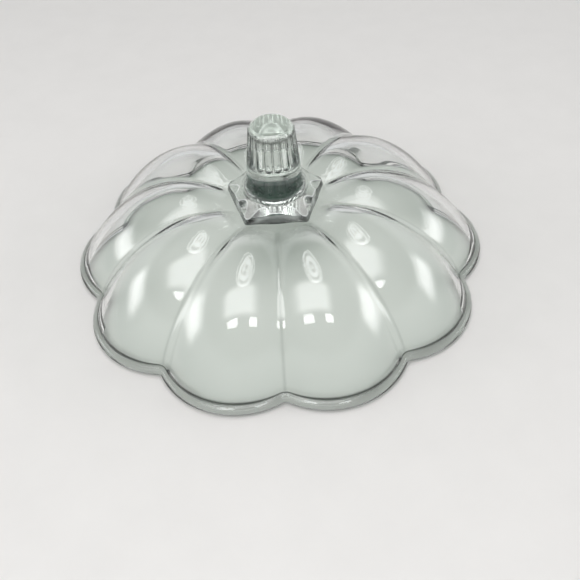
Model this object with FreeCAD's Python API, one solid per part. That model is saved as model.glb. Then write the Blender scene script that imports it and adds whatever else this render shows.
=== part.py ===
"""Clear pressed-glass dish cover in the form of the top of a pumpkin.

A thin dome of ten lobes ends in a rounded bead that rests on the dish. On the dome's crown
sits a five-sided collar, and in the collar a fluted stem that serves as the knob. The three
pieces of glass are bonded to each other with thin films of clear adhesive.

Frame: millimetres, +Z up, origin on the plane that the bead rests on, at the dome's axis.
A valley between two lobes points along -Y, and so does one flat side of the collar.
"""

import math
import os

import FreeCAD
import Part

Vector = FreeCAD.Vector
UP = Vector(0, 0, 1)

# Overall form
TIP_RADIUS = 125.0          # axis to the outermost point of a lobe
LOBE_COUNT = 10
LOBE_RADIUS = 46.4          # plan radius of one lobe's outline
NOTCH_FILLET = 3.0          # plan radius of the rounded notch between two lobes
WALL = 4.0                  # thickness of the dome's glass
CROWN_HEIGHT = 45.5         # height of the flat pad that carries the collar

# Rim bead
BEAD_RADIUS = 3.25
SEAT_WIDTH = 2.0            # flat ground under the bead

# Collar
COLLAR_SIDES = 5
COLLAR_APOTHEM = 24.4       # axis to the foot of a flat side
COLLAR_HEIGHT = 9.0         # at the mouth of the stem's socket
COLLAR_SLOPE = 27.5         # degrees that the upper face falls outwards from the socket
COLLAR_DRAFT = 8.0          # degrees that the sides lean inwards
COLLAR_CORNER = 3.0         # plan radius of its corners
PAD_MARGIN = 0.9            # pad that shows between the collar's foot and a lobe

# Petals: scoops round the collar's upper face, one over each lobe
PETAL_RADIUS = 24.0         # radius of a scoop's section
PETAL_START = 1.4           # from the mouth of the socket to the tip of a scoop
PETAL_SLOPE = 37.5          # degrees that a scoop falls outwards

# Stem
STEM_TOP_RADIUS = 12.6
STEM_HEIGHT = 39.8          # from the mouth of the socket to the flat top
STEM_DRAFT = 5.7            # degrees of taper
STEM_BEVEL = 2.4            # bevel round the flat top
FOOT_FLARE = 4.5            # radius of the concave flare between the barrel and its foot
FOOT_LIP = 1.6              # depth of the foot that stands in the collar's socket
SOCKET_CLEARANCE = 0.2      # radial gap round the foot
FLUTE_COUNT = 18
FLUTE_RADIUS = 3.3          # radius of a flute's section
FLUTE_DEPTH = 0.8
FLUTE_RUN_OUT = 20.5        # height above the socket's mouth where the round ends have centres

# Adhesive films
BOND_THICKNESS = 0.2
BOND_INSET = 0.5            # film edge back from the edge of the glass

HALF_PITCH = math.pi / LOBE_COUNT
LOBE_CENTRE = TIP_RADIUS - LOBE_RADIUS
BEAD_CENTRE_HEIGHT = math.sqrt(BEAD_RADIUS**2 - (SEAT_WIDTH / 2) ** 2)
BEAD_TOP = BEAD_CENTRE_HEIGHT + BEAD_RADIUS
COLLAR_REACH = COLLAR_APOTHEM / math.cos(math.pi / COLLAR_SIDES)
COLLAR_BASE = CROWN_HEIGHT + BOND_THICKNESS
COLLAR_TOP = COLLAR_BASE + COLLAR_HEIGHT
SOCKET_FLOOR = COLLAR_TOP - FOOT_LIP - BOND_THICKNESS
STEM_TOP = COLLAR_TOP + STEM_HEIGHT

# Outer face between the pad and the bead: shares of the way out, and of the crown's height
PAD_RIDGE_RADIUS = COLLAR_APOTHEM / math.cos(HALF_PITCH) + PAD_MARGIN
PAD_VALLEY_RADIUS = COLLAR_REACH + PAD_MARGIN
RIDGE_STATIONS = [(0.252, 1.195), (0.376, 1.160), (0.602, 0.977)]
VALLEY_STATIONS = [(0.250, 1.051), (0.515, 0.954), (0.790, 0.644)]


def on_ray(radius, angle, height):
    """Point at an angle from the valley that points along -Y."""
    return Vector(radius * math.sin(angle), -radius * math.cos(angle), height)


def notch_centre():
    """Plan radius at which the rounded notches of the rim's outline have their centres."""
    return LOBE_CENTRE * math.cos(HALF_PITCH) + math.sqrt(
        (LOBE_RADIUS + NOTCH_FILLET) ** 2 - (LOBE_CENTRE * math.sin(HALF_PITCH)) ** 2
    )


def half_turns():
    """Half of the angle that the outline turns through in a notch, and in a lobe."""
    across = notch_centre() * math.sin(HALF_PITCH)
    along = notch_centre() * math.cos(HALF_PITCH) - LOBE_CENTRE
    lobe = math.atan2(across, along)
    return lobe - HALF_PITCH, lobe


def rim_point(inset, height, on_ridge):
    """Point of the rim's outline, moved inwards by inset, as plan radius and height."""
    if on_ridge:
        return Vector(TIP_RADIUS - inset, 0, height)
    return Vector(notch_centre() - NOTCH_FILLET - inset, 0, height)


def ring(valley, ridge, inset):
    """Poles of a closed ring of arcs, as notch start, notch, notch end and lobe, for each lobe.

    The arcs meet smoothly, as the rim's outline does when it is moved inwards by inset, and
    pass through the valley point and the ridge point, given as plan radius and height.
    """
    notch_turn, lobe_turn = half_turns()
    notch_pole = notch_centre() - (NOTCH_FILLET + inset) / math.cos(notch_turn)
    lobe_pole = LOBE_CENTRE + (LOBE_RADIUS - inset) / math.cos(lobe_turn)
    notch_side = (NOTCH_FILLET + inset) * math.tan(notch_turn)
    lobe_side = (LOBE_RADIUS - inset) * math.tan(lobe_turn)
    share = notch_side / (notch_side + lobe_side)
    notch_pull, lobe_pull = math.cos(notch_turn), math.cos(lobe_turn)

    def solve(low, high, spread):
        """Values at the notch's and the lobe's pole that give low and high on the curve."""
        rows = (
            (1 - share + notch_pull, share * spread, low * (1 + notch_pull)),
            ((1 - share) * spread, share + lobe_pull, high * (1 + lobe_pull)),
        )
        (a, b, e), (c, d, f) = rows
        return (e * d - b * f) / (a * d - b * c), (a * f - e * c) / (a * d - b * c)

    notch_radius, lobe_radius = solve(valley.x, ridge.x, math.cos(HALF_PITCH))
    notch_height, lobe_height = solve(valley.z, ridge.z, 1.0)
    poles = []
    for index in range(LOBE_COUNT):
        towards = 2 * HALF_PITCH * index
        notch = on_ray(notch_radius, towards, notch_height)
        before = on_ray(lobe_radius, towards - HALF_PITCH, lobe_height)
        after = on_ray(lobe_radius, towards + HALF_PITCH, lobe_height)
        poles += [notch + (before - notch) * share, notch, notch + (after - notch) * share, after]
    return poles


def spans(poles):
    """Each arc of a ring: its three poles and the weight of the middle one."""
    notch_turn, lobe_turn = half_turns()
    closed = poles + poles[:1]
    weights = [math.cos(notch_turn), math.cos(lobe_turn)] * LOBE_COUNT
    return [(closed[2 * i:2 * i + 3], weight) for i, weight in enumerate(weights)]


def ring_wire(poles):
    edges = []
    for span, weight in spans(poles):
        curve = Part.BSplineCurve()
        curve.buildFromPolesMultsKnots(span, [3, 3], [0.0, 1.0], False, 2, [1.0, weight, 1.0])
        edges.append(curve.toShape())
    return Part.Wire(edges)


def lobed_faces(rows):
    """Faces right round the dome whose meridians are Bezier curves with a pole on each row."""
    faces = []
    for patch in zip(*[spans(row) for row in rows]):
        weight = patch[0][1]
        surface = Part.BSplineSurface()
        surface.buildFromPolesMultsKnots(
            [span for span, _ in patch],
            [len(rows), len(rows)],
            [3, 3],
            [0.0, 1.0],
            [0.0, 1.0],
            False,
            False,
            len(rows) - 1,
            2,
            [[1.0, weight, 1.0] for _ in rows],
        )
        faces.append(surface.toShape())
    return faces


def meridian(points):
    curve = Part.BezierCurve()
    curve.interpolate([[point] for point in points])
    return curve


def outer_meridian(pad_radius, bead_radius, stations):
    """Meridian of the outer face from the pad's edge to the top of the bead."""
    points = [Vector(pad_radius, 0, CROWN_HEIGHT)]
    for way_out, height_share in stations:
        radius = pad_radius + (bead_radius - pad_radius) * way_out
        points.append(Vector(radius, 0, CROWN_HEIGHT * height_share))
    return meridian(points + [Vector(bead_radius, 0, BEAD_TOP)])


def inner_meridian(curve, bead_radius):
    """Meridian one wall below curve, from the crown's underside to the inside of the bead."""
    tangent = Vector(*curve.tangent(0.0)[0])
    slope = math.atan2(tangent.z, tangent.x)
    under_pad = curve.value(0.0).x + WALL * math.tan(slope / 2)
    points = [Vector(under_pad, 0, CROWN_HEIGHT - WALL)]
    for share in (0.25, 0.5, 0.75):
        tangent = Vector(*curve.tangent(share)[0])
        points.append(curve.value(share) + Vector(tangent.z, 0, -tangent.x) * WALL)
    return meridian(points + [Vector(bead_radius, 0, BEAD_CENTRE_HEIGHT)])


def bead_rows(start_angle, end_angle):
    """Rows of the faces round the bead between two angles of its section, in degrees."""
    start, end = math.radians(start_angle), math.radians(end_angle)
    handle = 4 / 3 * math.tan((end - start) / 4) * BEAD_RADIUS
    rows = []
    for angle, reach in ((start, 0), (start, handle), (end, -handle), (end, 0)):
        outwards = BEAD_RADIUS * math.cos(angle) - reach * math.sin(angle)
        height = BEAD_CENTRE_HEIGHT + BEAD_RADIUS * math.sin(angle) + reach * math.cos(angle)
        inset = BEAD_RADIUS - outwards
        rows.append(ring(rim_point(inset, height, False), rim_point(inset, height, True), inset))
    return rows


def wall_rows(valley, ridge, inset):
    """Rows of the faces between a valley's meridian and a ridge's."""
    return [ring(low, high, inset) for low, high in zip(valley.getPoles(), ridge.getPoles())]


def dome():
    """Lobed shell with its bead, closed by the pad, its underside and the ground seat."""
    outer_foot = [rim_point(BEAD_RADIUS, BEAD_TOP, on_ridge).x for on_ridge in (False, True)]
    inner_foot = [
        rim_point(2 * BEAD_RADIUS, BEAD_CENTRE_HEIGHT, on_ridge).x for on_ridge in (False, True)
    ]
    valley = outer_meridian(PAD_VALLEY_RADIUS, outer_foot[0], VALLEY_STATIONS)
    ridge = outer_meridian(PAD_RIDGE_RADIUS, outer_foot[1], RIDGE_STATIONS)
    inner_valley = inner_meridian(valley, inner_foot[0])
    inner_ridge = inner_meridian(ridge, inner_foot[1])
    outer = wall_rows(valley, ridge, BEAD_RADIUS)
    inner = wall_rows(inner_valley, inner_ridge, 2 * BEAD_RADIUS)

    seat_angle = math.degrees(math.acos(SEAT_WIDTH / 2 / BEAD_RADIUS))
    top_to_side = bead_rows(90.0, 0.0)
    side_to_seat = bead_rows(0.0, -seat_angle)
    seat_to_inside = bead_rows(seat_angle - 180.0, -180.0)
    faces = []
    for rows in (outer, top_to_side, side_to_seat, seat_to_inside, list(reversed(inner))):
        faces += lobed_faces(rows)
    pad = Part.Face(ring_wire(outer[0]))
    underside = Part.Face(ring_wire(inner[0]))
    underside.reverse()
    seat = Part.Face(ring_wire(side_to_seat[-1])).cut(Part.Face(ring_wire(seat_to_inside[0])))
    shell = Part.Compound(faces + [pad, underside] + seat.Faces)
    shell.sewShape()
    return Part.Solid(shell.Shells[0])


def pentagon(apothem, height, corner):
    """Wire of the collar's plan with rounded corners, a flat side towards -Y."""
    half_side = math.pi / COLLAR_SIDES
    arcs = []
    for index in range(COLLAR_SIDES):
        towards = half_side * (2 * index + 1)
        centre = on_ray((apothem - corner) / math.cos(half_side), towards, height)
        arcs.append([
            centre + on_ray(corner, towards + turn, 0) for turn in (-half_side, 0, half_side)
        ])
    edges = []
    for before, after in zip(arcs, arcs[1:] + arcs[:1]):
        edges.append(Part.Arc(*before).toShape())
        edges.append(Part.LineSegment(before[-1], after[0]).toShape())
    return Part.Wire(edges)


def stem_radius(height):
    """Radius of the stem's taper at a height above the socket's mouth."""
    return STEM_TOP_RADIUS + (STEM_HEIGHT - height) * math.tan(math.radians(STEM_DRAFT))


def flare(turn):
    """Point of the foot's flare, whose surface faces turn radians above level.

    The flare starts on the barrel's taper and ends level with the slope of the collar.
    """
    draft, slope = math.radians(STEM_DRAFT), math.radians(COLLAR_SLOPE)
    top = FOOT_FLARE * (math.cos(slope) - math.sin(draft))
    radius = stem_radius(top) + FOOT_FLARE * (math.cos(draft) - math.cos(turn))
    return Vector(radius, 0, COLLAR_TOP + FOOT_FLARE * (math.cos(slope) - math.sin(turn)))


def foot_radius():
    return flare(math.pi / 2 - math.radians(COLLAR_SLOPE)).x


def socket_radius():
    return foot_radius() + SOCKET_CLEARANCE


def petal_cutter(angle):
    """Leaning cylinder that scoops one petal out of the collar's upper face."""
    drop = PETAL_START + SOCKET_CLEARANCE
    tip = on_ray(
        socket_radius() + PETAL_START,
        angle,
        COLLAR_TOP - drop * math.tan(math.radians(COLLAR_SLOPE)),
    )
    fall = math.radians(PETAL_SLOPE)
    inwards = on_ray(-math.cos(fall), angle, math.sin(fall))
    square = on_ray(math.sin(fall), angle, math.cos(fall))
    start = tip + inwards + square * PETAL_RADIUS
    return Part.makeCylinder(PETAL_RADIUS, COLLAR_REACH, start, -inwards)


def collar():
    """Five-sided block with a petal over each lobe and a socket for the stem's foot."""
    spread = COLLAR_HEIGHT / math.tan(math.radians(COLLAR_SLOPE))
    slopes = Part.makeCone(
        foot_radius() + spread, foot_radius(), COLLAR_HEIGHT, Vector(0, 0, COLLAR_BASE))
    lean = COLLAR_HEIGHT * math.tan(math.radians(COLLAR_DRAFT))
    block = Part.makeLoft(
        [
            pentagon(COLLAR_APOTHEM, COLLAR_BASE, COLLAR_CORNER),
            pentagon(COLLAR_APOTHEM - lean, COLLAR_TOP, COLLAR_CORNER),
        ],
        True,
        True,
    )
    socket = Part.makeCylinder(
        socket_radius(), FOOT_LIP + BOND_THICKNESS + 1, Vector(0, 0, SOCKET_FLOOR))
    petals = [petal_cutter(HALF_PITCH * (2 * index + 1)) for index in range(LOBE_COUNT)]
    return block.common(slopes).cut(petals + [socket])


def stem():
    """Tapered barrel with a bevelled top, a flared foot and round-ended flutes."""
    draft = math.radians(STEM_DRAFT)
    foot_bottom = COLLAR_TOP - FOOT_LIP
    level = math.pi / 2 - math.radians(COLLAR_SLOPE)
    flare_top, flare_middle, flare_end = [
        flare(turn) for turn in (draft, (draft + level) / 2, level)]
    bevel_foot = Vector(stem_radius(STEM_HEIGHT - STEM_BEVEL), 0, STEM_TOP - STEM_BEVEL)
    bevel_top = Vector(STEM_TOP_RADIUS - STEM_BEVEL, 0, STEM_TOP)
    bottom = Vector(0, 0, foot_bottom)
    outline = [
        Part.LineSegment(bottom, Vector(flare_end.x, 0, foot_bottom)),
        Part.LineSegment(Vector(flare_end.x, 0, foot_bottom), flare_end),
        Part.Arc(flare_end, flare_middle, flare_top),
        Part.LineSegment(flare_top, bevel_foot),
        Part.LineSegment(bevel_foot, bevel_top),
        Part.LineSegment(bevel_top, Vector(0, 0, STEM_TOP)),
        Part.LineSegment(Vector(0, 0, STEM_TOP), bottom),
    ]
    profile = Part.Face(Part.Wire([line.toShape() for line in outline]))
    barrel = profile.revolve(Vector(), UP, 360)

    axis_radius = stem_radius(FLUTE_RUN_OUT) + (FLUTE_RADIUS - FLUTE_DEPTH) / math.cos(draft)
    for index in range(FLUTE_COUNT):
        angle = 2 * math.pi * (index + 0.5) / FLUTE_COUNT
        start = on_ray(axis_radius, angle, COLLAR_TOP + FLUTE_RUN_OUT)
        along = on_ray(-math.sin(draft), angle, math.cos(draft))
        shaft = Part.makeCylinder(FLUTE_RADIUS, STEM_HEIGHT, start, along)
        end = Part.makeSphere(FLUTE_RADIUS)
        end.translate(start)
        barrel = barrel.cut(shaft.fuse(end))
    return barrel


def collar_bond():
    film = pentagon(COLLAR_APOTHEM - BOND_INSET, CROWN_HEIGHT, COLLAR_CORNER)
    return Part.Face(film).extrude(UP * BOND_THICKNESS)


def stem_bond():
    return Part.makeCylinder(
        foot_radius() - BOND_INSET, BOND_THICKNESS, Vector(0, 0, SOCKET_FLOOR))


def main():
    os.makedirs("parts", exist_ok=True)
    for piece in (dome, collar, stem, collar_bond, stem_bond):
        shape = piece()
        print(piece.__name__, shape.isValid(), len(shape.Solids), round(shape.Volume, 1))
        shape.exportStep(f"parts/{piece.__name__}.step")


if __name__ == "__main__":
    main()
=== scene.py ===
"""Looks of the lobed glass dish cover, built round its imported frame.

Pieces: dome_glass, collar_glass and stem_glass, which are clear pressed glass, and
collar_film and stem_film, the clear adhesive between them. At each bond the upper glass runs
down through its film and a little into the glass below. Everything is in metres.
"""

import functools
import math

import bmesh
import bpy
from mathutils import Matrix, Vector, noise


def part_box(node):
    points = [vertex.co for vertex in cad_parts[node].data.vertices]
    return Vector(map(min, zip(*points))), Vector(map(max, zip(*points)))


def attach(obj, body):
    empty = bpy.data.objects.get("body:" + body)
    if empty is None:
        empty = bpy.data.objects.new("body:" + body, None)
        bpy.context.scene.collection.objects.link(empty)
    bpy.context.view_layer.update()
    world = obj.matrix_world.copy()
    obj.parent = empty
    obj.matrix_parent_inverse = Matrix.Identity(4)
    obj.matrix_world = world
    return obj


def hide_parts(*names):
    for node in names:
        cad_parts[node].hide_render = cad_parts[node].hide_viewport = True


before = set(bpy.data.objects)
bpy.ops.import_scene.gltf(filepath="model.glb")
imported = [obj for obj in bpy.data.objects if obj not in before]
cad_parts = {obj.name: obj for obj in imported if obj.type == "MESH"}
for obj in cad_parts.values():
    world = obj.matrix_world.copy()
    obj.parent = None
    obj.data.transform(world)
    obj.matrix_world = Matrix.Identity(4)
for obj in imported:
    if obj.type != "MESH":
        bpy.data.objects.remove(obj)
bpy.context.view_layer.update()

MM = 0.001

# Driving sizes, as in the part's source
LOBES = 10
HALF_PITCH = math.pi / LOBES
TIP_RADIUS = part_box("dome")[1][0]
LOBE_RADIUS = 46.4 * MM
NOTCH_FILLET = 3.0 * MM
LOBE_CENTRE = TIP_RADIUS - LOBE_RADIUS
BEAD_RADIUS = 3.25 * MM
SEAT_WIDTH = 2.0 * MM
BEAD_CENTRE_HEIGHT = math.sqrt(BEAD_RADIUS**2 - (SEAT_WIDTH / 2) ** 2)
WALL = 4.0 * MM
PAD_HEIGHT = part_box("collar_bond")[0][2]
PAD_VALLEY_RADIUS = 31.0 * MM
PAD_RIDGE_RADIUS = 26.5 * MM
PAD_SOFTENING = 5.5 * MM           # half the width of the soft turn round the pad
PAD_SHARE = -0.10                  # where a meridian is picked up inside the pad's edge
WAVE_LENGTH = 30.0 * MM            # of the pressed glass's soft unevenness
WAVE_HEIGHT = 0.3 * MM
GLASS_LAP = 0.10 * MM              # that an upper piece of glass reaches into the lower one
FILM_LAP = 0.05 * MM               # that a film reaches into the glass on both sides
FILM_INSET = 0.5 * MM              # from the edge of the face that a film holds

COLLAR_SIDES = 5
COLLAR_APOTHEM = 24.4 * MM
COLLAR_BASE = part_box("collar")[0][2]
COLLAR_LEAN = math.tan(math.radians(8.0))
COLLAR_FALL = math.radians(27.5)
COLLAR_CORNER = 3.0 * MM
PETAL_RADIUS = 24.0 * MM
PETAL_START = 1.4 * MM
PETAL_FALL = math.radians(37.5)

STEM_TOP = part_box("stem")[1][2]
STEM_TOP_RADIUS = 12.6 * MM
STEM_DRAFT = math.radians(5.7)
STEM_BEVEL = 2.4 * MM
FOOT_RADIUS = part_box("stem")[1][0]
FOOT_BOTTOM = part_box("stem")[0][2]
FOOT_FLARE = 4.5 * MM
FOOT_LIP = 1.6 * MM
SOCKET_CLEARANCE = 0.2 * MM
SOCKET_RADIUS = FOOT_RADIUS + SOCKET_CLEARANCE
SOCKET_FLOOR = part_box("stem_bond")[0][2]
MOUTH = FOOT_BOTTOM + FOOT_LIP     # where the collar's slope would meet the foot's rim
FLUTES = 18
FLUTE_DEPTH = 0.8 * MM
FLUTE_RADIUS = 3.3 * MM
FLUTE_RUN_OUT = 20.5 * MM
FLUTE_END = MOUTH + FLUTE_RUN_OUT


# ---------------------------------------------------------------- materials

def linear(hex_colour, alpha=1.0):
    """Linear colour of an sRGB hex value."""
    values = [int(hex_colour[i:i + 2], 16) / 255 for i in (1, 3, 5)]
    return tuple(
        v / 12.92 if v <= 0.04045 else ((v + 0.055) / 1.055) ** 2.4 for v in values
    ) + (alpha,)


def node(tree, kind, links=None, **settings):
    """A node with its settings: a socket's value by its name, anything else as a property."""
    made = tree.nodes.new(kind)
    for name, value in settings.items():
        if hasattr(made, name):
            setattr(made, name, value)
        else:
            made.inputs[name.replace("_", " ")].default_value = value
    for name, source in (links or {}).items():
        tree.links.new(source, made.inputs[name])
    return made


def new_material(name):
    material = bpy.data.materials.new(name)
    material.use_nodes = True
    material.node_tree.nodes.clear()
    return material, material.node_tree


def light_rays(tree):
    """1 on a ray that carries light to a matt surface, which glass lets straight through."""
    path = node(tree, "ShaderNodeLightPath")
    either = node(tree, "ShaderNodeMath", {
        0: path.outputs["Is Shadow Ray"],
        1: path.outputs["Is Diffuse Ray"],
    }, operation="MAXIMUM")
    return either.outputs[0]


def passing_light(tree, face_on, edge_on, foot):
    """Clear shader for the rays of light_rays: a wall seen edge on lets less through, and the
    sides of the thick bead at the foot hardly any, so that both cast a shadow."""
    facing = node(tree, "ShaderNodeLayerWeight", Blend=0.35)
    wall = node(tree, "ShaderNodeMix", {0: facing.outputs["Facing"]}, data_type="RGBA")
    wall.inputs[6].default_value = linear(face_on)
    wall.inputs[7].default_value = linear(edge_on)
    round_side = node(tree, "ShaderNodeMapRange", {"Value": facing.outputs["Facing"]},
                      From_Min=0.05, From_Max=0.25)
    bead = node(tree, "ShaderNodeMix", {0: round_side.outputs["Result"]}, data_type="RGBA")
    bead.inputs[6].default_value = linear(face_on)
    bead.inputs[7].default_value = linear(foot)
    place = node(tree, "ShaderNodeTexCoord")
    axes = node(tree, "ShaderNodeSeparateXYZ", {"Vector": place.outputs["Object"]})
    above = node(tree, "ShaderNodeMapRange", {"Value": axes.outputs["Z"]},
                 From_Min=2.5 * BEAD_RADIUS, From_Max=0.5 * BEAD_RADIUS)
    colour = node(tree, "ShaderNodeMix",
                  {0: above.outputs["Result"], 6: wall.outputs[2], 7: bead.outputs[2]},
                  data_type="RGBA")
    return node(tree, "ShaderNodeBsdfTransparent", {"Color": colour.outputs[2]})


def pressed_glass(name, face_on, edge_on):
    """Soda-lime glass, pressed in a mould and fire-polished: clear, with a faint grey-green cast
    that deepens with thickness. Its waviness is in the dome's mesh, because a bump map left black
    patches in the far lobes."""
    material, tree = new_material(name)
    # Light painted from the mesh: above 0 painted shade that darkens the glass towards #30332F,
    # below 0 a painted white highlight where the glass turns white and less clear.
    edges = node(tree, "ShaderNodeAttribute", attribute_name="painted_shade_and_highlight")
    dark = node(tree, "ShaderNodeMapRange", {"Value": edges.outputs["Fac"]})
    painted_highlight = node(tree, "ShaderNodeMapRange", {"Value": edges.outputs["Fac"]}, From_Max=-1.0)
    clear = node(tree, "ShaderNodeMath", {1: painted_highlight.outputs["Result"]}, operation="SUBTRACT")
    clear.inputs[0].default_value = 1.0
    painted_shade_colour = node(tree, "ShaderNodeMix", {0: dark.outputs["Result"]}, data_type="RGBA")
    painted_shade_colour.inputs[6].default_value = linear("#FFFFFF")
    painted_shade_colour.inputs[7].default_value = linear("#30332F")
    glass = node(tree, "ShaderNodeBsdfPrincipled",
                 {"Base Color": painted_shade_colour.outputs[2],
                  "Transmission Weight": clear.outputs["Value"]}, Roughness=0.0, IOR=1.52)
    passing = passing_light(tree, face_on, edge_on, "#1E211F")
    lamps = node(tree, "ShaderNodeMixShader", {
        0: light_rays(tree),
        1: glass.outputs["BSDF"],
        2: passing.outputs["BSDF"],
    })
    tint = node(tree, "ShaderNodeVolumeAbsorption", Color=linear("#DEE7E1"), Density=9.0)
    node(tree, "ShaderNodeOutputMaterial",
         {"Surface": lamps.outputs["Shader"], "Volume": tint.outputs["Volume"]})
    return material


def adhesive():
    """Clear cured glass adhesive: colourless seen square on, and a deep bottle green at a low
    angle:
    the green of light running a long way through the bond and the glass under it, darkened as
    painted shade in the middle, inside about 16 mm."""
    material, tree = new_material("clear_cured_adhesive")
    place = node(tree, "ShaderNodeTexCoord")
    flow = node(tree, "ShaderNodeTexNoise", {"Vector": place.outputs["Object"]},
                Scale=1 / (6 * MM), Detail=2.0)
    bump = node(tree, "ShaderNodeBump", {"Height": flow.outputs["Fac"]},
                Strength=0.2, Distance=0.1 * MM)
    facing = node(tree, "ShaderNodeLayerWeight", Blend=0.5)
    low_angle = node(tree, "ShaderNodeMapRange", {"Value": facing.outputs["Facing"]},
                     From_Min=0.25, From_Max=0.45)
    off_axis = node(tree, "ShaderNodeVectorMath", {0: place.outputs["Object"]},
                    operation="MULTIPLY")
    off_axis.inputs[1].default_value = (1, 1, 0)
    reach = node(tree, "ShaderNodeVectorMath", {0: off_axis.outputs["Vector"]},
                 operation="LENGTH")
    ragged = node(tree, "ShaderNodeMath", {0: flow.outputs["Fac"], 2: reach.outputs["Value"]},
                  operation="MULTIPLY_ADD")
    ragged.inputs[1].default_value = 4 * MM
    middle = node(tree, "ShaderNodeMapRange", {"Value": ragged.outputs["Value"]},
                  From_Min=17 * MM, From_Max=16 * MM)
    green_and_painted_shade = node(tree, "ShaderNodeMath",
                {0: low_angle.outputs["Result"], 1: middle.outputs["Result"]},
                operation="MULTIPLY")
    # Deep bottle green at low angles in the middle: part the tint of a long path through the bond,
    # part painted shade.
    colour = node(tree, "ShaderNodeMix", {0: green_and_painted_shade.outputs["Value"]}, data_type="RGBA")
    colour.inputs[6].default_value = linear("#FBFCFB")
    colour.inputs[7].default_value = linear("#24503D")
    film = node(tree, "ShaderNodeBsdfPrincipled",
                {"Normal": bump.outputs["Normal"], "Base Color": colour.outputs[2]},
                Roughness=0.02, IOR=1.5, Transmission_Weight=1.0)
    passing = passing_light(tree, "#FDFEFD", "#D6DDD8", "#FDFEFD")
    lamps = node(tree, "ShaderNodeMixShader", {
        0: light_rays(tree),
        1: film.outputs["BSDF"],
        2: passing.outputs["BSDF"],
    })
    node(tree, "ShaderNodeOutputMaterial", {"Surface": lamps.outputs["Shader"]})
    return material


def table_top():
    """Matt white laminate with faint scuffs."""
    material, tree = new_material("white_laminate")
    place = node(tree, "ShaderNodeTexCoord")
    scuff = node(tree, "ShaderNodeTexNoise", {"Vector": place.outputs["Object"]},
                 Scale=1 / (30 * MM), Detail=4.0, Roughness=0.6)
    colour = node(tree, "ShaderNodeMix", {0: scuff.outputs["Fac"]}, data_type="RGBA")
    colour.inputs[6].default_value = linear("#E3E1DF")
    colour.inputs[7].default_value = linear("#EAE8E6")
    board = node(tree, "ShaderNodeBsdfPrincipled", {"Base Color": colour.outputs[2]},
                 Roughness=0.55)
    node(tree, "ShaderNodeOutputMaterial", {"Surface": board.outputs["BSDF"]})
    return material


# ---------------------------------------------------------------- meshes

def turned(rows, columns, place, painted_light=None):
    """Closed skin of a section carried right round the axis, from a grid rolled up.

    place gives plan radius, angle and height for a row and a column, and the last argument the
    light painted on the glass there: above 0 painted shade as a dark line, below 0 a painted white
    highlight. The section starts and ends near the axis, where a flat face closes each end."""
    mesh = bmesh.new()
    painted_shade_and_highlight = mesh.verts.layers.float.new("painted_shade_and_highlight")
    bmesh.ops.create_grid(mesh, x_segments=rows - 1, y_segments=columns, size=1)
    for vert in mesh.verts:
        row = round((vert.co.x + 1) / 2 * (rows - 1))
        column = round((vert.co.y + 1) / 2 * columns) % columns
        radius, angle, height = place(row, column)
        vert.co = (radius * math.sin(angle), -radius * math.cos(angle), height)
        vert[painted_shade_and_highlight] = painted_light(row, column) if painted_light else 0.0
    bmesh.ops.remove_doubles(mesh, verts=mesh.verts, dist=0.001 * MM)
    bmesh.ops.holes_fill(mesh, edges=[e for e in mesh.edges if e.is_boundary], sides=0)
    return mesh


def finish_piece(mesh, name, material, slot, *stands_for):
    """Object of a finished mesh, smooth and facing outwards, that rides on the cover."""
    bmesh.ops.recalc_face_normals(mesh, faces=mesh.faces)
    for face in mesh.faces:
        face.smooth = True
    data = bpy.data.meshes.new(name)
    mesh.to_mesh(data)
    mesh.free()
    data.set_sharp_from_angle(angle=math.radians(28))
    data.materials.append(material)
    piece = bpy.data.objects.new(name, data)
    bpy.context.collection.objects.link(piece)
    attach(piece, "root")
    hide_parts(*stands_for)
    return piece


@functools.lru_cache(maxsize=None)
def outline_radius(off_valley, inset):
    """Plan radius of the rim's outline moved inwards by inset, at an angle from a valley."""
    off_ridge = abs(HALF_PITCH - off_valley % (2 * HALF_PITCH))
    lobe = LOBE_RADIUS - inset
    notch = NOTCH_FILLET + inset
    notch_centre = LOBE_CENTRE * math.cos(HALF_PITCH) + math.sqrt(
        (LOBE_RADIUS + NOTCH_FILLET) ** 2 - (LOBE_CENTRE * math.sin(HALF_PITCH)) ** 2
    )
    across = notch_centre * math.sin(HALF_PITCH)
    along = notch_centre * math.cos(HALF_PITCH) - LOBE_CENTRE
    reach = math.hypot(along, across)
    meeting = math.atan2(across / reach * lobe, LOBE_CENTRE + along / reach * lobe)
    if off_ridge <= meeting:
        return LOBE_CENTRE * math.cos(off_ridge) + math.sqrt(
            lobe**2 - (LOBE_CENTRE * math.sin(off_ridge)) ** 2
        )
    near = HALF_PITCH - off_ridge
    return notch_centre * math.cos(near) - math.sqrt(
        notch**2 - (notch_centre * math.sin(near)) ** 2
    )


def on_curve(samples, share):
    """Point at a share of the smooth curve through samples at even shares."""
    degree = len(samples) - 1
    at = Vector((0, 0))
    for i, sample in enumerate(samples):
        weight = 1.0
        for j in range(len(samples)):
            if j != i:
                weight *= (share * degree - j) / (i - j)
        at += sample * weight
    return at


def outer_line(on_ridge, share):
    """Point of a valley's or a ridge's meridian, running on straight inside the pad's edge.

    Its rise from the flat pad is rounded off, so that the lobes swell out of it softly."""
    samples = RIDGE if on_ridge else VALLEY
    start = on_curve(samples, 0.0)
    heading = (on_curve(samples, 0.01) - start) / 0.01
    at = on_curve(samples, share) if share > 0 else start + heading * share
    soft = PAD_SOFTENING * heading.y / heading.x
    rise = at.y - PAD_HEIGHT
    if share < 0.3 and abs(rise) < soft:
        at.y = PAD_HEIGHT + (rise + soft) ** 2 / (4 * soft)
    elif share < 0:
        at.y = PAD_HEIGHT
    return at


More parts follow.
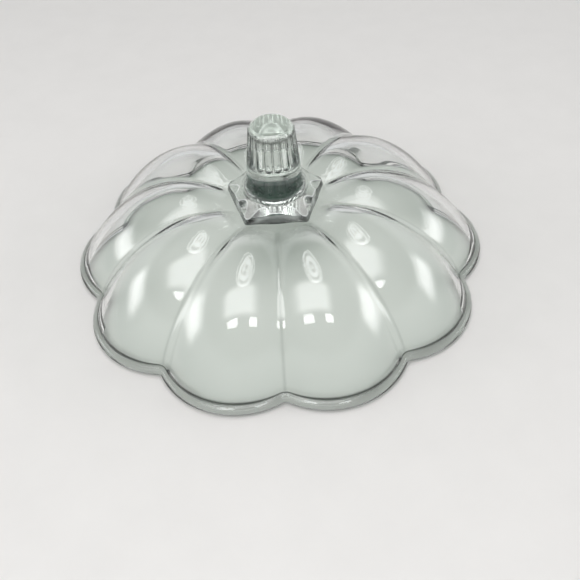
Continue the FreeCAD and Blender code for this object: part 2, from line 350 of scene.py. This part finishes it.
@functools.lru_cache(maxsize=None)
def wall_point(on_ridge, share, depth):
    """Point of a valley's or a ridge's meridian at a share of the way out, depth into the wall."""
    step = 0.002
    along = outer_line(on_ridge, min(share + step, 1)) - outer_line(on_ridge, share - step)
    along.normalize()
    return outer_line(on_ridge, share) + Vector((along.y, -along.x)) * depth


OUTER_INSET = BEAD_RADIUS
INNER_INSET = 2 * BEAD_RADIUS
VALLEY_FOOT = outline_radius(0.0, OUTER_INSET)
RIDGE_FOOT = outline_radius(HALF_PITCH, OUTER_INSET)


def meridian_samples(pad_radius, foot_radius, stations):
    """Points of a meridian of the outer face, at even shares of the curve."""
    points = [Vector((pad_radius, PAD_HEIGHT))]
    for way_out, height_share in stations:
        points.append(Vector((
            pad_radius + (foot_radius - pad_radius) * way_out, PAD_HEIGHT * height_share)))
    return points + [Vector((foot_radius, BEAD_CENTRE_HEIGHT + BEAD_RADIUS))]


VALLEY = meridian_samples(
    PAD_VALLEY_RADIUS, VALLEY_FOOT, [(0.250, 1.051), (0.515, 0.954), (0.790, 0.644)])
RIDGE = meridian_samples(
    PAD_RIDGE_RADIUS, RIDGE_FOOT, [(0.252, 1.195), (0.376, 1.160), (0.602, 0.977)])


def ridge_share(off_valley, inset):
    """How far a ray stands towards the ridge: 0 in the valley, 1 on the ridge."""
    low = outline_radius(0.0, inset)
    return (outline_radius(off_valley, inset) - low) / (outline_radius(HALF_PITCH, inset) - low)


def dome_point(way, off_valley):
    """Radius and height of the dome's surface.

    way runs over the whole section: 0 to 1 from the axis out over the pad, to 2 down the outer
    wall, to 3 round the bead, to 4 up the inner wall, and to 5 back to the axis."""
    if 2 < way <= 3:
        angle = math.pi / 2 - (way - 2) * math.radians(270)
        inset = BEAD_RADIUS * (1 - math.cos(angle))
        height = BEAD_CENTRE_HEIGHT + BEAD_RADIUS * math.sin(angle)
        return outline_radius(off_valley, inset), max(height, 0.0)
    outside = way <= 2
    out = way if outside else 5 - way
    share = PAD_SHARE + (1 - PAD_SHARE) * max(out - 1, 0.0)
    on_ridge = ridge_share(off_valley, OUTER_INSET if outside else INNER_INSET)
    depth = 0.0 if outside else WALL
    at = wall_point(False, share, depth).lerp(wall_point(True, share, depth), on_ridge)
    if not outside:
        bottom = wall_point(False, 1.0, WALL).lerp(wall_point(True, 1.0, WALL), on_ridge)
        foot = Vector((outline_radius(off_valley, INNER_INSET), BEAD_CENTRE_HEIGHT))
        at += (foot - bottom) * max(share, 0.0) ** 4
    return at.x * min(out, 1.0), at.y


def make_dome(glass):
    """Lobed shell, with its columns drawn together in the valleys."""
    ways = [0.02, 0.35, 0.7]
    ways += [1 + i / 100 for i in range(20)]
    ways += [1.2 + 0.78 * i / 48 for i in range(49)]
    ways += [1.986, 1.991, 1.9935, 1.996, 1.998, 2]
    ways += [2 + i / 26 for i in range(1, 27)]
    ways += [3 + 0.8 * i / 46 for i in range(1, 46)]
    ways += [3.8 + i / 80 for i in range(17)]
    ways += [4.3, 4.65, 4.98]
    columns = LOBES * 44

    def place(row, column):
        off_valley = 2 * math.pi * column / columns
        off_valley -= 0.55 / LOBES * math.sin(LOBES * off_valley)
        radius, height = dome_point(ways[row], off_valley)
        if 1 < ways[row] < 2:
            spot = Vector((radius * math.sin(off_valley), radius * math.cos(off_valley), height))
            swell = math.sin(math.pi * (ways[row] - 1)) * WAVE_HEIGHT
            height += swell * noise.noise(spot / WAVE_LENGTH)
        return radius, off_valley, height

    def painted_light(row, column):
        """Painted shade: a thin dark line where the wall meets the bead, a painted contact shadow
        low on the bead's outer side, and a faint dark line down each valley."""
        way = ways[row]
        crease_way, crease_reach = 1.997, 0.004
        crease = 1 - abs(way - crease_way) / crease_reach
        degrees_down = 270 * (way - 2) - 90
        under_degrees = 26
        under = 1 - abs(degrees_down - under_degrees) / under_degrees
        line = min(max(crease, under, 0.0) * 1.8, 1.0)
        radius, angle, _ = place(row, column)
        off_valley = abs((angle + HALF_PITCH) % (2 * HALF_PITCH) - HALF_PITCH)
        half_width = 1.4 * MM
        valley = 0.25 * max(1 - radius * off_valley / half_width, 0.0)
        return max(line, valley if 1.1 < way < 2 else 0.0)

    mesh = turned(len(ways), columns, place, painted_light)
    return finish_piece(mesh, "dome_glass", glass, "clear_glass", "dome")


@functools.lru_cache(maxsize=None)
def pentagon_radius(angle, apothem, corner):
    """Plan radius of a rounded pentagon at an angle from the middle of a flat side."""
    half_side = math.pi / COLLAR_SIDES
    off_side = abs((angle + half_side) % (2 * half_side) - half_side)
    centre = (apothem - corner) / math.cos(half_side)
    flat = apothem / math.cos(off_side)
    off_corner = half_side - off_side
    if flat * math.sin(off_side) <= centre * math.sin(half_side):
        return flat
    return centre * math.cos(off_corner) + math.sqrt(
        corner**2 - (centre * math.sin(off_corner)) ** 2)


def collar_top(radius, angle):
    """Height of the collar's upper face: a slope all round, or the nearest petal's scoop."""
    slope = MOUTH - (radius - FOOT_RADIUS) * math.tan(COLLAR_FALL)
    off_petal = angle % (2 * HALF_PITCH) - HALF_PITCH
    out = radius * math.cos(off_petal)
    aside = radius * math.sin(off_petal)
    if abs(aside) >= PETAL_RADIUS:
        return slope
    tip = SOCKET_RADIUS + PETAL_START
    tip_height = MOUTH - (tip - FOOT_RADIUS) * math.tan(COLLAR_FALL)
    rise = PETAL_RADIUS - math.sqrt(PETAL_RADIUS**2 - aside**2)
    scoop = tip_height - (out - tip) * math.tan(PETAL_FALL) + rise / math.cos(PETAL_FALL)
    return min(slope, scoop)


def make_collar(glass):
    """Five-sided block with a socket for the stem and a scooped petal over each lobe."""
    edge = 0.45 * MM
    socket_edge = 0.15 * MM
    base = PAD_HEIGHT - GLASS_LAP
    socket = [(0.4 * MM, SOCKET_FLOOR), (0.7 * SOCKET_RADIUS, SOCKET_FLOOR)]
    socket += [(SOCKET_RADIUS, SOCKET_FLOOR), (SOCKET_RADIUS, MOUTH - 2 * socket_edge)]
    petal_rows, turn_rows, side_rows = 44, 6, 16
    bottom = [0.98, 0.9, 0.6, 0.3, 0.02]
    columns = 1080

    def side(angle, height):
        apothem = COLLAR_APOTHEM - (height - COLLAR_BASE) * COLLAR_LEAN
        return pentagon_radius(angle, apothem, COLLAR_CORNER)

    @functools.lru_cache(maxsize=None)
    def brim(angle):
        """Plan radius and height of the edge between the upper face and a side."""
        height = MOUTH
        for _ in range(6):
            radius = side(angle, height)
            height = collar_top(radius, angle)
        return radius, height

    def place(row, column):
        angle = 2 * math.pi * column / columns
        reach, lip = brim(angle)
        inner = reach - edge
        if row < len(socket):
            return socket[row][0], angle, socket[row][1]
        row -= len(socket)
        if row <= petal_rows:
            mouth = SOCKET_RADIUS + socket_edge
            radius = mouth + (inner - mouth) * row / petal_rows
            return radius, angle, collar_top(radius, angle)
        row -= petal_rows
        if row <= turn_rows:
            share = row / turn_rows
            ends = (inner, collar_top(inner, angle)), (reach, lip), (side(angle, lip - edge),
                                                                     lip - edge)
            radius, height = [
                (1 - share) ** 2 * a + 2 * share * (1 - share) * b + share**2 * c
                for a, b, c in zip(*ends)]
            return radius, angle, height
        row -= turn_rows
        if row <= side_rows:
            height = lip - edge + (base - lip + edge) * row / side_rows
            return side(angle, height), angle, height
        row -= side_rows + 1
        return side(angle, base) * bottom[row], angle, base

    def painted_light(row, column):
        """Painted shade on the upright sides, darkest at the foot, and a painted white highlight
        along the petals' edges.
        """
        row -= len(socket) + petal_rows + turn_rows
        if 0 < row <= side_rows + 1:
            return 0.4 + 0.4 * (row / side_rows) ** 3
        if -petal_rows <= row <= 0:
            radius, angle, height = place(row + len(socket) + petal_rows + turn_rows, column)
            slope = MOUTH - (radius - FOOT_RADIUS) * math.tan(COLLAR_FALL)
            off_petal = angle % (2 * HALF_PITCH) - HALF_PITCH
            between = radius * math.sin(HALF_PITCH - abs(off_petal))
            if slope - height > 0.001 * MM:
                off_edge = min((slope - height) / 0.25, between / 0.35)
                return -0.8 * max(1 - off_edge / MM, 0.0)
        return 0.0

    rows = len(socket) + 1 + petal_rows + turn_rows + side_rows + len(bottom)
    mesh = turned(rows, columns, place, painted_light)
    return finish_piece(mesh, "collar_glass", glass, "clear_glass", "collar")


def taper(height):
    return STEM_TOP_RADIUS + (STEM_TOP - height) * math.tan(STEM_DRAFT)


def flute_floor(off_flute, height):
    """Plan radius of a flute's floor at an angle from its middle, or None outside it."""
    centre = taper(height) + (FLUTE_RADIUS - FLUTE_DEPTH) / math.cos(STEM_DRAFT)
    below = max(FLUTE_END - height, 0.0)
    room = FLUTE_RADIUS**2 - (centre * math.sin(off_flute)) ** 2 - below**2
    if room <= 0:
        return None
    return centre * math.cos(off_flute) - math.sqrt(room)


def flute_edge(height):
    """Angle between a flute's middle and its edge on the barrel."""
    skin = taper(height)
    centre = skin + (FLUTE_RADIUS - FLUTE_DEPTH) / math.cos(STEM_DRAFT)
    return math.acos((centre**2 + skin**2 - FLUTE_RADIUS**2) / (2 * centre * skin))


def make_stem(glass):
    """Tapered barrel with a bevelled top, round-ended flutes and a flared foot."""
    bottom = SOCKET_FLOOR - GLASS_LAP
    bevel_foot = STEM_TOP - STEM_BEVEL
    rim = STEM_TOP_RADIUS - STEM_BEVEL
    level = math.pi / 2 - COLLAR_FALL
    flare_top = MOUTH + FOOT_FLARE * (math.sin(level) - math.sin(STEM_DRAFT))
    section = [(0.4 * MM, STEM_TOP), (0.6 * STEM_TOP_RADIUS, STEM_TOP)]
    section.append((rim - 0.2 * MM, STEM_TOP))
    for i in range(13):
        section.append((rim + (taper(bevel_foot) - rim) * i / 12, STEM_TOP - STEM_BEVEL * i / 12))
    round_top = FLUTE_END + 0.4 * MM
    round_foot = FLUTE_END - 0.7 * FLUTE_RADIUS
    for start, end, steps in (
        (bevel_foot, round_top, 18), (round_top, round_foot, 24), (round_foot, flare_top, 14),
    ):
        for i in range(1, steps + 1):
            height = start + (end - start) * i / steps
            section.append((taper(height), height))
    for i in range(1, 15):
        turn = STEM_DRAFT + (level - STEM_DRAFT) * i / 14
        section.append((
            taper(flare_top) + FOOT_FLARE * (math.cos(STEM_DRAFT) - math.cos(turn)),
            MOUTH + FOOT_FLARE * (math.sin(level) - math.sin(turn))))
    foot = section[-1][0]
    section += [(foot, MOUTH - 0.1 * MM), (foot, bottom), (foot * 0.6, bottom)]
    section.append((0.4 * MM, bottom))
    in_flute, on_land = 28, 6
    columns = FLUTES * (in_flute + on_land)
    half_flute = math.pi / FLUTES

    def place(row, column):
        flute, step = divmod(column, in_flute + on_land)
        radius, height = section[row]
        edge = flute_edge(max(height, FLUTE_END))
        if step <= in_flute:
            off_flute = edge * (2 * step / in_flute - 1)
        else:
            off_flute = edge + (step - in_flute) / on_land * 2 * (half_flute - edge)
        angle = 2 * half_flute * (flute + 0.5) + off_flute
        if step <= in_flute and radius > STEM_TOP_RADIUS / 2:
            floor = flute_floor(off_flute, height)
            if floor is not None:
                radius = min(radius, floor)
        return radius, angle, height

    def painted_light(row, column):
        """Painted shade: thin dark lines along the flutes' edges and round their lower ends, and
        one at the bevel.
        """
        step = column % (in_flute + on_land)
        skin, height = section[row]
        if not round_foot < height < STEM_TOP - STEM_BEVEL / 2:
            return 0.0
        bevel = max(1 - abs(height - bevel_foot + 0.9 * MM) / (1.5 * MM), 0.0)
        if step > in_flute:
            off_edge = min(step - in_flute, in_flute + on_land - step)
            return max(bevel, 0.7 if off_edge == 1 else 0.0)
        radius = place(row, column)[0]
        depth = skin - radius
        if depth < 0.001 * MM and 0 < step < in_flute:
            return bevel
        return max(bevel, max(1 - depth / (0.4 * MM), 0.0))

    mesh = turned(len(section), columns, place, painted_light)
    return finish_piece(mesh, "stem_glass", glass, "clear_glass", "stem")


def make_film(name, low, high, radius_at, material, stands_for):
    """Thin film of adhesive whose plan radius is given by angle."""
    section = [(0.02, high), (0.7, high), (1.0, high), (1.0, low), (0.7, low), (0.02, low)]
    columns = 180

    def place(row, column):
        angle = 2 * math.pi * column / columns
        share, height = section[row]
        return radius_at(angle) * share, angle, height

    mesh = turned(len(section), columns, place)
    return finish_piece(mesh, name, material, "clear_adhesive", stands_for)


# ---------------------------------------------------------------- stage

def make_floor(material):
    mesh = bmesh.new()
    bmesh.ops.create_grid(mesh, x_segments=1, y_segments=1, size=1.6)
    bmesh.ops.translate(mesh, verts=mesh.verts, vec=(0, 0, -0.05 * MM))
    data = bpy.data.meshes.new("table")
    mesh.to_mesh(data)
    mesh.free()
    data.materials.append(material)
    table = bpy.data.objects.new("table", data)
    bpy.context.collection.objects.link(table)


def make_camera():
    """Camera in front of the cover, looking down at it and turned slightly about its axis."""
    aim = Vector((0.0418, -0.2684, 0.0)) * TIP_RADIUS
    azimuth, elevation, roll = math.radians(0.36), math.radians(47.4), math.radians(-3.47)
    distance = 3.382 * TIP_RADIUS
    back = Vector((
        math.sin(azimuth) * math.cos(elevation),
        -math.cos(azimuth) * math.cos(elevation),
        math.sin(elevation),
    ))
    across = Vector((0, 0, 1)).cross(back).normalized()
    upwards = back.cross(across)
    data = bpy.data.cameras.new("camera")
    data.sensor_width = 36.0
    data.lens = 43.72
    data.clip_start = 0.01
    camera = bpy.data.objects.new("camera", data)
    bpy.context.collection.objects.link(camera)
    turn = Matrix((across, upwards, back)).transposed() @ Matrix.Rotation(roll, 3, "Z")
    camera.matrix_world = Matrix.Translation(aim + back * distance) @ turn.to_4x4()
    bpy.context.scene.camera = camera


def area_lamp(name, centre, aim, size, power, fade=0.0):
    """Rectangular lamp; fade is the share of its width and depth over which its edges dim."""
    data = bpy.data.lights.new(name, "AREA")
    data.shape = "RECTANGLE"
    data.size, data.size_y = size
    data.energy = power
    if fade:
        data.use_nodes = True
        tree = data.node_tree
        tree.nodes.clear()
        over = node(tree, "ShaderNodeNewGeometry")
        across = node(tree, "ShaderNodeSeparateXYZ", {"Vector": over.outputs["Parametric"]})
        strength = None
        for axis in ("X", "Y"):
            for start, end in ((0.0, fade), (1.0, 1.0 - fade)):
                edge = node(tree, "ShaderNodeMapRange", {"Value": across.outputs[axis]},
                            interpolation_type="SMOOTHSTEP", From_Min=start, From_Max=end,
                            To_Min=0.05)
                if strength is None:
                    strength = edge.outputs["Result"]
                else:
                    product = node(tree, "ShaderNodeMath",
                                   {0: strength, 1: edge.outputs["Result"]},
                                   operation="MULTIPLY")
                    strength = product.outputs["Value"]
        glow = node(tree, "ShaderNodeEmission", {"Strength": strength})
        node(tree, "ShaderNodeOutputLight", {"Surface": glow.outputs["Emission"]})
    lamp = bpy.data.objects.new(name, data)
    bpy.context.collection.objects.link(lamp)
    lamp.location = centre
    lamp.rotation_euler = (Vector(centre) - Vector(aim)).to_track_quat("Z", "Y").to_euler()
    return lamp


def make_lights():
    """A soft ceiling over the front with two bright windows at its edge, a soft panel low on
    each side, a ringed lamp over the middle, and a room with pale walls and a dim ceiling."""
    area_lamp("ceiling", (-0.19, -0.53, 1.5), (-0.19, -0.53, 0.0), (1.9, 0.92), 17.5, 0.25)
    area_lamp("left_window", (-0.52, -1.05, 1.5), (-0.52, -1.05, 0.0), (0.50, 0.34), 5.0, 0.1)
    area_lamp("right_window", (0.46, -1.05, 1.5), (0.46, -1.05, 0.0), (0.36, 0.34), 3.8, 0.1)
    area_lamp("left_panel", (-1.6, 0.1, 0.6), (0.0, 0.1, 0.2), (1.2, 0.6), 9.0, 0.3)
    area_lamp("right_panel", (1.6, 0.1, 0.6), (0.0, 0.1, 0.2), (1.2, 0.6), 9.0, 0.3)
    rings = area_lamp("ring_lamp", (0.0, 0.15, 1.4), (0.0, 0.15, 0.0), (0.74, 0.74), 6.0)
    rings.data.shape = "DISK"
    rings.data.use_nodes = True
    tree = rings.data.node_tree
    tree.nodes.clear()
    over = node(tree, "ShaderNodeNewGeometry")
    off_centre = node(tree, "ShaderNodeVectorMath", {0: over.outputs["Parametric"]},
                      operation="DISTANCE")
    off_centre.inputs[1].default_value = (0.5, 0.5, 0.0)
    turns = node(tree, "ShaderNodeMath", {0: off_centre.outputs["Value"]}, operation="MULTIPLY")
    turns.inputs[1].default_value = 8 * math.pi
    swing = node(tree, "ShaderNodeMath", {0: turns.outputs["Value"]}, operation="COSINE")
    strength = node(tree, "ShaderNodeMapRange", {"Value": swing.outputs["Value"]},
                    From_Min=-1.0, From_Max=1.0, To_Min=0.1, To_Max=1.2)
    glow = node(tree, "ShaderNodeEmission", {"Strength": strength.outputs["Result"]})
    node(tree, "ShaderNodeOutputLight", {"Surface": glow.outputs["Emission"]})
    world = bpy.data.worlds.new("room")
    bpy.context.scene.world = world
    world.use_nodes = True
    tree = world.node_tree
    tree.nodes.clear()
    place = node(tree, "ShaderNodeTexCoord")
    axes = node(tree, "ShaderNodeSeparateXYZ", {"Vector": place.outputs["Generated"]})
    height = node(tree, "ShaderNodeMapRange", {"Value": axes.outputs["Z"]},
                  interpolation_type="SMOOTHSTEP",
                  From_Min=0.42, From_Max=0.60, To_Min=0.85, To_Max=0.17)
    air = node(tree, "ShaderNodeBackground", {"Strength": height.outputs["Result"]},
               Color=linear("#E8EAEA"))
    node(tree, "ShaderNodeOutputWorld", {"Surface": air.outputs["Background"]})


wall_glass = pressed_glass("soda_lime_pressed_glass", "#F5F9F6", "#BEC6C1")
solid_glass = pressed_glass("solid_pressed_glass", "#DFE2E0", "#989E9A")
film = adhesive()
make_floor(table_top())
make_camera()
make_lights()
make_dome(wall_glass)
make_collar(solid_glass)
make_stem(solid_glass)
make_film("collar_film", PAD_HEIGHT - FILM_LAP, COLLAR_BASE + FILM_LAP,
          lambda angle: pentagon_radius(angle, COLLAR_APOTHEM - FILM_INSET, COLLAR_CORNER),
          film, "collar_bond")
make_film("stem_film", SOCKET_FLOOR - FILM_LAP, FOOT_BOTTOM + FILM_LAP,
          lambda angle: FOOT_RADIUS - FILM_INSET, film, "stem_bond")

scene = bpy.context.scene
scene.view_settings.view_transform = "Standard"
scene.cycles.max_bounces = 24
scene.cycles.transmission_bounces = 24
scene.cycles.transparent_max_bounces = 32
